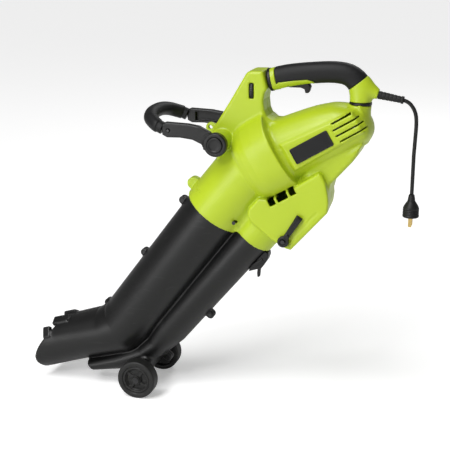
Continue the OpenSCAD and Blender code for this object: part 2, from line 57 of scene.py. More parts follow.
# Camera, floor and light
view = {"azimuth": 17.0, "elevation": 17.0, "distance": 2.05, "lens": 84.8,
        "target": (0.0634, 0.0, 0.3525)}
lights = {
    "key": {"at": (-0.6, -2.4, 2.1), "size": 0.8, "power": 30},
    "low": {"at": (-1.25, -2.15, 0.66), "size": 1.2, "power": 15},
    "rim": {"at": (0.6, 2.2, 2.4), "size": 1.6, "power": 18},
}
daylight = {"from": (-0.7, -1.3, 2.5), "spread": 30.0, "strength": 1.5}
room = {"world": (1.0, 1.0, 1.0), "strength": 0.18, "backdrop": 1.0,
        "floor": (0.96, 0.96, 0.96), "floorGlow": 0.3, "floorReach": 30}


def aim(thing, target):
    # Turns an object's -Z at a point, with its Y up
    from mathutils import Vector
    away = thing.location - Vector(target)
    thing.rotation_euler = away.to_track_quat("Z", "Y").to_euler()


def buildStage():
    turn, rise = math.radians(view["azimuth"]), math.radians(view["elevation"])
    aimX, aimY, aimZ = view["target"]
    camera = bpy.data.objects.new("camera", bpy.data.cameras.new("camera"))
    camera.location = (aimX + view["distance"] * math.sin(turn) * math.cos(rise),
                       aimY - view["distance"] * math.cos(turn) * math.cos(rise),
                       aimZ + view["distance"] * math.sin(rise))
    camera.data.lens = view["lens"]
    camera.data.sensor_width = 36
    aim(camera, view["target"])
    bpy.context.scene.collection.objects.link(camera)
    bpy.context.scene.camera = camera
    for name, lamp in lights.items():
        light = bpy.data.objects.new(name, bpy.data.lights.new(name, "AREA"))
        light.data.shape = "DISK"
        light.data.size = lamp["size"]
        light.data.energy = lamp["power"]
        light.location = lamp["at"]
        aim(light, (0, 0, 0.35))
        bpy.context.scene.collection.objects.link(light)
    sky = bpy.data.objects.new("daylight", bpy.data.lights.new("daylight", "SUN"))
    sky.data.angle = math.radians(daylight["spread"])
    sky.data.energy = daylight["strength"]
    sky.location = daylight["from"]
    aim(sky, (0, 0, 0))
    bpy.context.scene.collection.objects.link(sky)
    world = bpy.data.worlds.new("studio")
    world.use_nodes = True
    background = world.node_tree.nodes["Background"]
    background.inputs["Color"].default_value = (*room["world"], 1)
    # The backdrop is brighter than the light it gives
    ray = addNode(world.node_tree, "LightPath")
    level = addNode(world.node_tree, "MapRange", {"To Min": room["strength"], "To Max": room["backdrop"]})
    link(world.node_tree, (ray.outputs["Is Camera Ray"], level.inputs["Value"]),
         (level.outputs["Result"], background.inputs["Strength"]))
    bpy.context.scene.world = world
    bpy.context.scene.view_settings.view_transform = "Standard"
    floorMesh = bpy.data.meshes.new("floor")
    reach = room["floorReach"]
    floorMesh.from_pydata([(-reach, -reach, 0), (reach, -reach, 0), (reach, reach, 0), (-reach, reach, 0)],
                          [], [(0, 1, 2, 3)])
    floor = bpy.data.objects.new("floor", floorMesh)
    bpy.context.scene.collection.objects.link(floor)
    paper = bpy.data.materials.new("paperFloor")
    paper.use_nodes = True
    paperInputs = paper.node_tree.nodes["Principled BSDF"].inputs
    paperInputs["Base Color"].default_value = (*room["floor"], 1)
    paperInputs["Roughness"].default_value = 0.9
    paperInputs["Emission Color"].default_value = (1, 1, 1, 1)
    # The floor is a little brighter than the light it gives, as the backdrop is
    paperRay = addNode(paper.node_tree, "LightPath")
    glow = addNode(paper.node_tree, "MapRange", {"To Min": 0.0, "To Max": room["floorGlow"]})
    link(paper.node_tree, (paperRay.outputs["Is Camera Ray"], glow.inputs["Value"]),
         (glow.outputs["Result"], paperInputs["Emission Strength"]))
    floorMesh.materials.append(paper)


# Distance fields
# A moulded piece is a field: negative inside, positive outside, in millimetres. All the
# functions take x, y and z as arrays that broadcast, so a grid costs one whole-array pass.
def join(a, b, blend):
    # The smaller of two fields, with a fillet about as wide as blend
    h = np.clip(0.5 + 0.5 * (b - a) / blend, 0, 1)
    return b + (a - b) * h - blend * h * (1 - h)


def cut(a, b, blend=0.8):
    # a without b, the edge rounded by blend
    return -join(-a, b, blend)


def both(a, b, blend=0.8):
    # Where both forms are, the larger of the two fields, the edge rounded by blend
    return -join(-a, -b, blend)


def roundedEnds(across, along, radius):
    # A prism from the distance to its outline and to its end faces: past both, the length of
    # the two distances together, which rounds the edge
    a, b = across + radius, along + radius
    return np.hypot(np.maximum(a, 0), np.maximum(b, 0)) + np.minimum(np.maximum(a, b), 0) - radius


def outlineField(px, pz, outline):
    # Signed distance to a closed polygon: nearest edge, with the sign from crossings
    points = np.array(outline, float)
    shape = np.broadcast(px, pz).shape
    nearest, sign = np.full(shape, 1e9), np.ones(shape)
    for start, end in zip(points, np.roll(points, -1, axis=0)):
        edge = end - start
        wx, wz = px - start[0], pz - start[1]
        t = np.clip((wx * edge[0] + wz * edge[1]) / (edge @ edge), 0, 1)
        nearest = np.minimum(nearest, (wx - edge[0] * t) ** 2 + (wz - edge[1] * t) ** 2)
        above, below = pz >= start[1], pz < end[1]
        left = edge[0] * wz > edge[1] * wx
        flip = (above & below & left) | (~above & ~below & ~left)
        sign = np.where(flip, -sign, sign)
    return sign * np.sqrt(nearest)


def slab(x, y, z, outline, half, radius, middle=0.0):
    # A side-plane outline carried across the machine
    return roundedEnds(outlineField(x, z, outline), np.abs(y - middle) - half, radius)


def rod(x, y, z, at, radius, y0, y1, edge=1.0):
    # A cylinder across the machine: distance from its axis less its radius, and its two ends
    across = np.hypot(x - at[0], z - at[1]) - radius
    return roundedEnds(across, np.abs(y - (y0 + y1) / 2) - (y1 - y0) / 2, edge)


def bar(x, y, z, start, end, radius, half, edge):
    # A stadium outline between two points of the side plane, carried across the machine
    ex, ez = end[0] - start[0], end[1] - start[1]
    wx, wz = x - start[0], z - start[1]
    t = np.clip((wx * ex + wz * ez) / (ex * ex + ez * ez), 0, 1)
    across = np.hypot(wx - ex * t, wz - ez * t) - radius
    return roundedEnds(across, np.abs(y) - half, edge)


def alongAxis(x, z, at, lean):
    # Distance along a direction of the side plane, and drop below it
    c, s = math.cos(math.radians(lean)), math.sin(math.radians(lean))
    wx, wz = x - at[0], z - at[1]
    return wx * c + wz * s, wx * s - wz * c


def tube(x, y, z, at, lean, radius, length0, length1, edge=1.0):
    # A cylinder whose axis lies in the side plane
    along, drop = alongAxis(x, z, at, lean)
    middle, half = (length0 + length1) / 2, (length1 - length0) / 2
    return roundedEnds(np.hypot(drop, y) - radius, np.abs(along - middle) - half, edge)


def box(x, y, z, at, lean, along0, along1, drop0, drop1, y0, y1, edge=0.6):
    # A block turned to a direction of the side plane: the length of what lies past each pair
    # of faces, less the edge's radius
    along, drop = alongAxis(x, z, at, lean)
    sides = [np.abs(along - (along0 + along1) / 2) - (along1 - along0) / 2 + edge,
             np.abs(drop - (drop0 + drop1) / 2) - (drop1 - drop0) / 2 + edge,
             np.abs(y - (y0 + y1) / 2) - (y1 - y0) / 2 + edge]
    outside = sum(np.maximum(side, 0) ** 2 for side in sides)
    inside = np.minimum(np.maximum(np.maximum(sides[0], sides[1]), sides[2]), 0)
    return np.sqrt(outside) + inside - edge


def smoothPath(keys, steps=8):
    # A Catmull-Rom curve through rows of numbers, steps points to a stretch
    keys = np.array(keys, float)
    padded = np.vstack([2 * keys[0] - keys[1], keys, 2 * keys[-1] - keys[-2]])
    t = np.linspace(0, 1, steps, endpoint=False)[:, None]
    rows = []
    for a, b, c, d in zip(padded, padded[1:], padded[2:], padded[3:]):
        rows.append(0.5 * (2 * b + (c - a) * t + (2 * a - 5 * b + 4 * c - d) * t ** 2
                           + (3 * b - a - 3 * c + d) * t ** 3))
    return np.vstack(rows + [keys[-1:]])


def pathField(x, y, z, rows):
    # A tube along a side-plane path. A row is x, z, half height, half width and squareness:
    # 2 gives an ellipse, more gives a box with round corners.
    shape = np.broadcast(x, z).shape
    nearest = np.full(shape, 1e12)
    high, wide, square = (np.zeros(shape) for _ in range(3))
    for start, end in zip(rows, rows[1:]):
        ex, ez = end[0] - start[0], end[1] - start[1]
        wx, wz = x - start[0], z - start[1]
        t = np.clip((wx * ex + wz * ez) / (ex * ex + ez * ez), 0, 1)
        away = (wx - ex * t) ** 2 + (wz - ez * t) ** 2
        closer = away < nearest
        nearest = np.where(closer, away, nearest)
        high = np.where(closer, start[2] + (end[2] - start[2]) * t, high)
        wide = np.where(closer, start[3] + (end[3] - start[3]) * t, wide)
        square = np.where(closer, start[4] + (end[4] - start[4]) * t, square)
    ratio = ((np.sqrt(nearest) / high) ** square + (np.abs(y) / wide) ** square) ** (1 / square)
    return (ratio - 1) * np.minimum(high, wide)


def fieldMesh(field, low, high, step):
    # Surface nets: one vertex in each grid cell that the surface crosses, at the mean of its
    # edge crossings, then moved onto the surface along the field's gradient.
    axes = [np.arange(a, b + step, step) for a, b in zip(low, high)]
    grid = field(axes[0][:, None, None], axes[1][None, :, None], axes[2][None, None, :])
    nx, ny, nz = (len(axis) for axis in axes)
    grid = np.broadcast_to(grid, (nx, ny, nz)).astype(np.float32)
    inside = grid < 0
    cells = (nx - 1, ny - 1, nz - 1)
    total, count = np.zeros(cells + (3,), np.float32), np.zeros(cells, np.float32)
    for axis in range(3):
        for far in range(4):
            start = [0, 0, 0]
            others = [k for k in range(3) if k != axis]
            start[others[0]], start[others[1]] = far & 1, far >> 1
            end = list(start)
            end[axis] = 1
            a = grid[tuple(slice(o, o + n) for o, n in zip(start, cells))]
            b = grid[tuple(slice(o, o + n) for o, n in zip(end, cells))]
            crossing = (a < 0) != (b < 0)
            t = np.where(crossing, a / np.where(crossing, a - b, 1), 0)
            for k in range(3):
                total[..., k] += np.where(crossing, t if k == axis else start[k], 0)
            count += crossing
    active = count > 0
    number = np.cumsum(active.ravel()).reshape(cells) - 1
    index = np.argwhere(active)
    points = np.array(low) + step * (index + total[active] / count[active][:, None])
    quads = []
    for axis in range(3):
        u, v = (axis + 1) % 3, (axis + 2) % 3
        near = [slice(1, n - 1) for n in (nx, ny, nz)]
        near[axis] = slice(0, (nx, ny, nz)[axis] - 1)
        beyond = list(near)
        beyond[axis] = slice(1, (nx, ny, nz)[axis])
        a, b = inside[tuple(near)], inside[tuple(beyond)]
        for leaving in (True, False):
            found = np.argwhere((a & ~b) if leaving else (b & ~a))
            found[:, u] += 1
            found[:, v] += 1
            corners = []
            for du, dv in ((-1, -1), (0, -1), (0, 0), (-1, 0)):
                cell = found.copy()
                cell[:, u] += du
                cell[:, v] += dv
                corners.append(number[tuple(cell.T)])
            quads.append(np.stack(corners if leaving else corners[::-1], axis=1))
    tiny = 0.15 * step
    for _ in range(3):
        px, py, pz = points.T
        value = field(px, py, pz)
        slope = np.stack([field(px + tiny, py, pz) - value, field(px, py + tiny, pz) - value,
                          field(px, py, pz + tiny) - value], axis=1) / tiny
        move = slope * (value / np.maximum((slope ** 2).sum(1), 0.2))[:, None]
        size = np.linalg.norm(move, axis=1, keepdims=True)
        points = points - move * np.minimum(1, 0.3 * step / np.maximum(size, 1e-9))
    return points, np.vstack(quads)


# Making and placing pieces
def makePiece(name, points, faces, material, nodes):
    # Points are in millimetres of the design; the piece rides on its CAD node's body
    mesh = bpy.data.meshes.new(name)
    placed = (np.asarray(points, float) + (centreShift, 0, 0)) / 1000
    mesh.from_pydata(placed.tolist(), [], [list(face) for face in faces])
    mesh.polygons.foreach_set("use_smooth", np.ones(len(mesh.polygons), bool))
    mesh.validate()
    mesh.update()
    piece = bpy.data.objects.new(name, mesh)
    bpy.context.scene.collection.objects.link(piece)
    mesh.materials.append(finishes[material])
    bodies = frame["record"]["behaviour"]["bodies"]
    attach(piece, next(body for body, held in bodies.items() if nodes[0] in held))
    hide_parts(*nodes)
    return piece


def makeField(name, field, low, high, step, material, nodes):
    points, faces = fieldMesh(field, low, high, step)
    stage("%s: %d faces" % (name, len(faces)))
    return makePiece(name, points, faces.tolist(), material, nodes)


def sharpen(piece, angle):
    # Edges that turn by more than the angle are shaded as hard edges
    piece.data.set_sharp_from_angle(angle=math.radians(angle))


def ringFaces(rings, sides):
    # Quads between neighbouring rings, and a fan to a pole at each end. Vertices are
    # numbered ring by ring, then the first pole, then the last.
    ring = np.arange(rings - 1)[:, None] * sides
    k = np.arange(sides)[None, :]
    after = (k + 1) % sides
    quads = np.stack([ring + k, ring + after, ring + after + sides, ring + k + sides], axis=-1)
    first, last = rings * sides, rings * sides + 1
    start = [[first, int(b), int(a)] for a, b in zip(k[0], after[0])]
    base = (rings - 1) * sides
    end = [[last, base + int(a), base + int(b)] for a, b in zip(k[0], after[0])]
    return quads.reshape(-1, 4).tolist() + start + end


def sweepSurface(path, radii, sides):
    # Rings of the given radius, square to a path in space, closed by poles
    path = np.asarray(path, float)
    tangent = np.gradient(path, axis=0)
    tangent /= np.linalg.norm(tangent, axis=1, keepdims=True)
    flat = np.array([0.0, 0.0, 1.0]) if np.ptp(path[:, 1]) > 1 else np.array([0.0, 1.0, 0.0])
    across = np.cross(tangent, flat)
    across /= np.linalg.norm(across, axis=1, keepdims=True)
    up = np.cross(across, tangent)
    angle = np.linspace(0, 2 * math.pi, sides, endpoint=False)
    radii = np.asarray(radii, float)[:, None, None]
    rings = path[:, None, :] + radii * (across[:, None, :] * np.cos(angle)[None, :, None]
                                        + up[:, None, :] * np.sin(angle)[None, :, None])
    points = np.vstack([rings.reshape(-1, 3), path[:1], path[-1:]])
    return points, ringFaces(len(path), sides)


def latheSurface(profile, at, axis, sides, shape=None, closed=False):
    # A profile of (height, radius) turned about an axis. shape(height, radius, angle) may return
    # changed heights and radii, for spokes and knurls. A closed profile is a ring with a bore.
    profile = np.array(profile, float)
    axis = np.array(axis, float) / np.linalg.norm(axis)
    side = np.cross(axis, (0.0, 0.0, 1.0) if abs(axis[2]) < 0.9 else (1.0, 0.0, 0.0))
    side /= np.linalg.norm(side)
    other = np.cross(axis, side)
    angle = np.linspace(0, 2 * math.pi, sides, endpoint=False)[None, :]
    height = profile[:, 0][:, None] + 0 * angle
    radius = profile[:, 1][:, None] + 0 * angle
    if shape:
        height, radius = shape(height, radius, angle)
    rings = (np.array(at, float) + height[..., None] * axis
             + (radius * np.cos(angle))[..., None] * side
             + (radius * np.sin(angle))[..., None] * other)
    if closed:
        count = len(profile)
        row = np.arange(count)[:, None] * sides
        below = (np.arange(count)[:, None] + 1) % count * sides
        k, after = np.arange(sides)[None, :], (np.arange(sides)[None, :] + 1) % sides
        faces = np.stack([row + k, row + after, below + after, below + k], axis=-1)
        return rings.reshape(-1, 3), faces.reshape(-1, 4).tolist()
    ends = np.array(at) + profile[[0, -1], 0][:, None] * axis
    return np.vstack([rings.reshape(-1, 3), ends]), ringFaces(len(profile), sides)


# Finishes
def newGroup(name, sockets):
    group = bpy.data.node_groups.new(name, "ShaderNodeTree")
    for title, kind, way, value in sockets:
        socket = group.interface.new_socket(title, in_out=way, socket_type="NodeSocket" + kind)
        if way == "INPUT" and value is not None:
            socket.default_value = value
    return group, group.nodes.new("NodeGroupInput"), group.nodes.new("NodeGroupOutput")


def addNode(tree, kind, values=None, **settings):
    node = tree.nodes.new("ShaderNode" + kind)
    for key, value in settings.items():
        setattr(node, key, value)
    for key, value in (values or {}).items():
        node.inputs[key].default_value = value
    return node


def link(tree, *pairs):
    for start, end in pairs:
        tree.links.new(start, end)


def mouldGrain():
    # Fine pitted texture of a spark-eroded mould, as a height
    group, given, result = newGroup("mouldGrain", [
        ("Vector", "Vector", "INPUT", None), ("Grain", "Float", "INPUT", 900.0),
        ("Height", "Float", "OUTPUT", None)])
    fine = addNode(group, "TexNoise", {"Detail": 2.0, "Roughness": 0.6})
    pits = addNode(group, "TexVoronoi", feature="SMOOTH_F1")
    blend = addNode(group, "Mix", {"Factor": 0.45})
    link(group, (given.outputs["Vector"], fine.inputs["Vector"]),
         (given.outputs["Grain"], fine.inputs["Scale"]),
         (given.outputs["Vector"], pits.inputs["Vector"]), (given.outputs["Grain"], pits.inputs["Scale"]),
         (fine.outputs["Fac"], blend.inputs["A"]), (pits.outputs["Distance"], blend.inputs["B"]),
         (blend.outputs["Result"], result.inputs["Height"]))
    return group


def flowMarks():
    # Slow change of shade and gloss over a moulding
    group, given, result = newGroup("flowMarks", [
        ("Vector", "Vector", "INPUT", None), ("Color", "Color", "INPUT", (0.5, 0.5, 0.5, 1)),
        ("Roughness", "Float", "INPUT", 0.4), ("Change", "Float", "INPUT", 0.05),
        ("Color", "Color", "OUTPUT", None), ("Roughness", "Float", "OUTPUT", None)])
    slow = addNode(group, "TexNoise", {"Scale": 14.0, "Detail": 3.0})
    centred = addNode(group, "Math", {1: 0.5}, operation="SUBTRACT")
    scaled = addNode(group, "Math", operation="MULTIPLY")
    lighter = addNode(group, "Math", {1: 1.0}, operation="ADD")
    shade = addNode(group, "VectorMath", operation="SCALE")
    rough = addNode(group, "Math", operation="ADD")
    link(group, (given.outputs["Vector"], slow.inputs["Vector"]), (slow.outputs["Fac"], centred.inputs[0]),
         (centred.outputs[0], scaled.inputs[0]), (given.outputs["Change"], scaled.inputs[1]),
         (scaled.outputs[0], lighter.inputs[0]), (given.outputs["Color"], shade.inputs[0]),
         (lighter.outputs[0], shade.inputs["Scale"]), (shade.outputs[0], result.inputs["Color"]),
         (given.outputs["Roughness"], rough.inputs[0]), (scaled.outputs[0], rough.inputs[1]),
         (rough.outputs[0], result.inputs["Roughness"]))
    return group


def handWear():
    # Rubbed convex edges and fine scuffs, as a mask from 0 to 1
    group, given, result = newGroup("handWear", [
        ("Vector", "Vector", "INPUT", None), ("Edges", "Float", "INPUT", 0.5),
        ("Scuffs", "Float", "INPUT", 0.2), ("Mask", "Float", "OUTPUT", None)])
    shape = addNode(group, "NewGeometry")
    edge = addNode(group, "MapRange", {"From Min": 0.53, "From Max": 0.62})
    patchy = addNode(group, "TexNoise", {"Scale": 60.0, "Detail": 4.0})
    edgeMask = addNode(group, "Math", operation="MULTIPLY")
    edgeLevel = addNode(group, "Math", operation="MULTIPLY")
    stretched = addNode(group, "Mapping", {"Rotation": (0.3, 0.7, 0.4), "Scale": (18.0, 160.0, 160.0)})
    lines = addNode(group, "TexNoise", {"Scale": 1.0, "Detail": 3.0})
    scuff = addNode(group, "MapRange", {"From Min": 0.62, "From Max": 0.72})
    scuffLevel = addNode(group, "Math", operation="MULTIPLY")
    total = addNode(group, "Math", operation="ADD", use_clamp=True)
    link(group, (shape.outputs["Pointiness"], edge.inputs["Value"]),
         (given.outputs["Vector"], patchy.inputs["Vector"]),
         (edge.outputs["Result"], edgeMask.inputs[0]), (patchy.outputs["Fac"], edgeMask.inputs[1]),
         (edgeMask.outputs[0], edgeLevel.inputs[0]), (given.outputs["Edges"], edgeLevel.inputs[1]),
         (given.outputs["Vector"], stretched.inputs["Vector"]),
         (stretched.outputs["Vector"], lines.inputs["Vector"]), (lines.outputs["Fac"], scuff.inputs["Value"]),
         (scuff.outputs["Result"], scuffLevel.inputs[0]), (given.outputs["Scuffs"], scuffLevel.inputs[1]),
         (edgeLevel.outputs[0], total.inputs[0]), (scuffLevel.outputs[0], total.inputs[1]),
         (total.outputs[0], result.inputs["Mask"]))
    return group


# Colour, roughness and change, edge and scuff wear and its colour, grain size and depth
finishValues = {
    "green_plastic": {"color": (0.44, 0.57, 0.016), "rough": 0.36, "change": 0.05, "edges": 0.25,
                      "scuffs": 0.04, "worn": (0.66, 0.82, 0.12), "grain": 1100, "depth": 0.05},
    "black_plastic": {"color": (0.004, 0.004, 0.004), "rough": 0.38, "shine": 0.42, "change": 0.1,
                      "edges": 0.35, "scuffs": 0.1, "worn": (0.06, 0.06, 0.06), "grain": 1000, "depth": 0.12},
    "wheel_plastic": {"color": (0.014, 0.014, 0.0135), "rough": 0.5, "shine": 0.35, "change": 0.14,
                      "edges": 0.5, "scuffs": 0.25, "worn": (0.07, 0.068, 0.064), "grain": 700, "depth": 0.2},
    "soft_grip": {"color": (0.008, 0.008, 0.0085), "rough": 0.5, "shine": 0.28, "change": 0.1, "edges": 0.25,
                  "scuffs": 0.06, "worn": (0.05, 0.05, 0.05), "grain": 1300, "depth": 0.3},
    "cord_rubber": {"color": (0.01, 0.01, 0.01), "rough": 0.46, "shine": 0.32, "change": 0.08, "edges": 0.2,
                    "scuffs": 0.05, "worn": (0.05, 0.05, 0.05), "grain": 900, "depth": 0.12},
    "badge_plastic": {"color": (0.006, 0.006, 0.0065), "rough": 0.3, "shine": 0.4, "change": 0.06,
                      "edges": 0.3, "scuffs": 0.03, "worn": (0.05, 0.05, 0.05), "grain": 2200, "depth": 0.05},
    "steel": {"color": (0.55, 0.56, 0.58), "rough": 0.3, "change": 0.12, "edges": 0.2,
              "scuffs": 0.3, "worn": (0.75, 0.75, 0.76), "grain": 1500, "depth": 0.05, "metal": 1.0},
    "blackened": {"color": (0.035, 0.035, 0.036), "rough": 0.38, "change": 0.15, "edges": 0.3,
                  "scuffs": 0.2, "worn": (0.2, 0.2, 0.2), "grain": 1500, "depth": 0.08, "metal": 1.0},
    "bracket_metal": {"color": (0.42, 0.43, 0.45), "rough": 0.42, "change": 0.16, "edges": 0.3,
                      "scuffs": 0.2, "worn": (0.6, 0.6, 0.6), "grain": 600, "depth": 0.15, "metal": 1.0},
    "laminations": {"color": (0.2, 0.2, 0.21), "rough": 0.5, "change": 0.2, "edges": 0.2,
                    "scuffs": 0.2, "worn": (0.4, 0.4, 0.4), "grain": 900, "depth": 0.2, "metal": 1.0},
    "copper": {"color": (0.6, 0.26, 0.12), "rough": 0.34, "change": 0.18, "edges": 0.1,
               "scuffs": 0.15, "worn": (0.75, 0.4, 0.2), "grain": 500, "depth": 0.3, "metal": 1.0},
    "brass": {"color": (0.62, 0.45, 0.16), "rough": 0.3, "change": 0.12, "edges": 0.2,
              "scuffs": 0.2, "worn": (0.8, 0.65, 0.35), "grain": 1200, "depth": 0.05, "metal": 1.0},
    "carbon": {"color": (0.03, 0.03, 0.032), "rough": 0.6, "change": 0.2, "edges": 0.2,
               "scuffs": 0.2, "worn": (0.08, 0.08, 0.08), "grain": 900, "depth": 0.2},
}
grainGroup, flowGroup, wearGroup = mouldGrain(), flowMarks(), handWear()


def buildFinish(name, values):
    material = bpy.data.materials.new(name)
    material.use_nodes = True
    tree = material.node_tree
    shader = tree.nodes["Principled BSDF"]
    shader.inputs["Metallic"].default_value = values.get("metal", 0.0)
    shader.inputs["Specular IOR Level"].default_value = values.get("shine", 0.5)
    place = addNode(tree, "TexCoord")
    grain = addNode(tree, "Group", node_tree=grainGroup)
    grain.inputs["Grain"].default_value = values["grain"]
    bump = addNode(tree, "Bump", {"Strength": values["depth"], "Distance": 0.0004})
    flow = addNode(tree, "Group", node_tree=flowGroup)
    flow.inputs["Color"].default_value = (*values["color"], 1)
    flow.inputs["Roughness"].default_value = values["rough"]
    flow.inputs["Change"].default_value = values["change"]
    wear = addNode(tree, "Group", node_tree=wearGroup)
    wear.inputs["Edges"].default_value = values["edges"]
    wear.inputs["Scuffs"].default_value = values["scuffs"]
    mixed = addNode(tree, "Mix", data_type="RGBA")
    mixed.inputs["B"].default_value = (*values["worn"], 1)
    spot = place.outputs["Object"]
    link(tree, (spot, grain.inputs["Vector"]), (spot, flow.inputs["Vector"]), (spot, wear.inputs["Vector"]),
         (wear.outputs["Mask"], mixed.inputs["Factor"]), (flow.outputs["Color"], mixed.inputs["A"]),
         (mixed.outputs["Result"], shader.inputs["Base Color"]),
         (flow.outputs["Roughness"], shader.inputs["Roughness"]),
         (grain.outputs["Height"], bump.inputs["Height"]), (bump.outputs["Normal"], shader.inputs["Normal"]))
    return material


# Screws, shafts, the axle and its clips take a dark metal finish instead of their slot's finish
darkMetalParts = dict.fromkeys(["lever_screw", "lever_shaft", "arm_screws", "tube_screws", "housing_screws",
                          "pivot_bolt", "axle", "axle_clips"], "blackened")
finishes = {name: buildFinish(name, values) for name, values in finishValues.items()}
for name, part in frame["nodes"].items():
    part.data.materials.clear()
    part.data.materials.append(finishes[darkMetalParts.get(name, slotOf[name])])
buildStage()
stage("finishes and studio")

# Cord, strain relief and plug
cord = {
    "diameter": 7.0, "sides": 18,
    "route": [(387, 613.5), (393, 611.5), (399, 607.5), (404, 601.5), (408, 594), (410.5, 585),
              (411.5, 574), (411.5, 560), (411, 545), (410.5, 530), (410, 515), (410, 500),
              (410, 485), (410, 470), (410, 455), (410, 442)],
    "reliefAt": (342, 621), "reliefLean": -9.3,
    "plugAt": (410, 400),
}


def buildCord():
    route = np.array(cord["route"], float)
    smooth = smoothPath(route, 4)
    path = np.stack([smooth[:, 0], 0 * smooth[:, 0], smooth[:, 1]], axis=1)
    points, faces = sweepSurface(path, np.full(len(path), cord["diameter"] / 2), cord["sides"])
    lead = makePiece("powerCord", points, faces, "cord_rubber", ["power_cord"])
    # Tapered sleeve with shallow rings and a thicker lip at its far end
    along = np.linspace(0, 41, 83)
    radius = 7.5 - 1.3 * along / 41 - 0.45 * (np.cos(along * math.pi / 3.4) > 0.55) * (along > 5)
    profile = [(0, 7.2)] + list(zip(along, radius))
    profile += [(41.5, 6.7), (42.3, 7), (45.2, 7), (46, 6.3), (46, 3.4)]
    lean = math.radians(cord["reliefLean"])
    axis = (math.cos(lean), 0, math.sin(lean))
    points, faces = latheSurface(profile, (cord["reliefAt"][0], 0, cord["reliefAt"][1]), axis, 40)
    relief = makePiece("strainRelief", points, faces, "cord_rubber", ["strain_relief"])
    # Moulded plug: face, grip with finger rings, neck
    profile = [(0, 12), (0, 14), (0.6, 14.8), (1.4, 15), (4, 15)]
    profile += [(4 + 0.5 * k, 15 - 0.6 * (1 - math.cos(k * math.pi / 3))) for k in range(1, 24)]
    profile += [(16, 14.9), (20, 13.4), (24, 11.2), (27, 9.3), (28.4, 8.2), (29.5, 7.5)]
    profile += [(29.5 + 0.5 * k, 7.4 - 0.08 * k - 0.5 * (k % 4 > 1)) for k in range(1, 24)]
    profile += [(41.6, 5.2), (42, 4.6)]
    points, faces = latheSurface(profile, (cord["plugAt"][0], 0, cord["plugAt"][1]), (0, 0, 1), 48)
    plug = makePiece("plug", points, faces, "cord_rubber", ["plug_body"])
    run = (np.array([(x + centreShift, 0, z) for x, z in smooth]) / 1000).tolist()
    length = float(np.linalg.norm(np.diff(np.array(run), axis=0), axis=1).sum())
    stage("cord of %.3f m" % length)


buildCord()

# Housing
housing = {
    "step": 2.0, "wall": 3.6, "edge": 1.6, "seam": 0.3,
    "motorAt": (172.6, 514.5), "lean": 31.0,
    "drum": [(-84, 50), (-80, 60), (-74, 66.5), (-64, 72), (-50, 76), (-30, 78), (10, 78)],
    # Place along the motor axis, drop below it, half height and half width
    "barrel": [(-8, 4, 60, 57), (40, 7.8, 57, 54.5), (83, 11.5, 53, 52.5), (108, 14.6, 49, 51),
               (125, 17, 45, 49.5), (146, 23, 37, 46), (156, 26, 29, 42), (161, 27, 21, 36),
               (163, 27.2, 13, 30), (164, 27.3, 3, 12)],
    "squareness": 2.5, "drumSquareness": 2.4, "drumFlat": 0.97,
    "pylon": [(30, 505), (35, 534), (41, 548), (74, 602), (102, 650), (106, 655), (113, 657), (134.5, 657.5),
              (143, 626), (138, 617), (136, 604), (138, 586), (143, 575), (154, 568), (205, 560),
              (160, 480), (70, 470)],
    "web": [(200, 450), (236, 490), (321, 534), (314, 516), (305, 502), (266, 457), (262, 440)],
    "chute": [(130, 425), (112, 404), (110, 390), (116, 378), (158, 346), (184, 332), (194, 330),
              (261, 407), (263, 424), (261, 442), (256, 463), (250, 476), (243, 481.5), (202, 454),
              (153, 424)],
    "suctionMouth": (36, 381), "blowerMouth": (112.5, 336), "tubeLean": 53.4,
    "suctionRadius": 62.0, "blowerRadius": 42.0,
    "pivot": (60, 527), "pivotRadius": 20.0, "pivotOut": 65.4,
    "lever": (185, 348), "collarScrew": (88, 374), "dial": (114, 621),
    "vents": [(-1, 112, 151), (10.7, 108, 158.5), (22.4, 108, 161), (34.1, 111, 161)],
    "windows": [(-66, -53), (-48, -26), (-21, -9)],
    "screws": [(88, 590), (252, 466), (292, 546)],
    "strapEye": (28, 544), "collarBoss": ((-6, 433), (14, 424)),
    "discharge": (229, 374), "groove": (217, 373), "lipLean": 49.8,
}


def turned(along, away, stations):
    # A lathed form: distance from its axis less its radius there, scaled for the slope
    rows = np.array(stations, float)
    slope = np.gradient(rows[:, 1], rows[:, 0])
    radius = np.interp(along, rows[:, 0], rows[:, 1])
    lean = np.interp(along, rows[:, 0], slope)
    side = (away - radius) / np.sqrt(1 + lean ** 2)
    return np.maximum(side, np.maximum(rows[0, 0] - along, along - rows[-1, 0]))


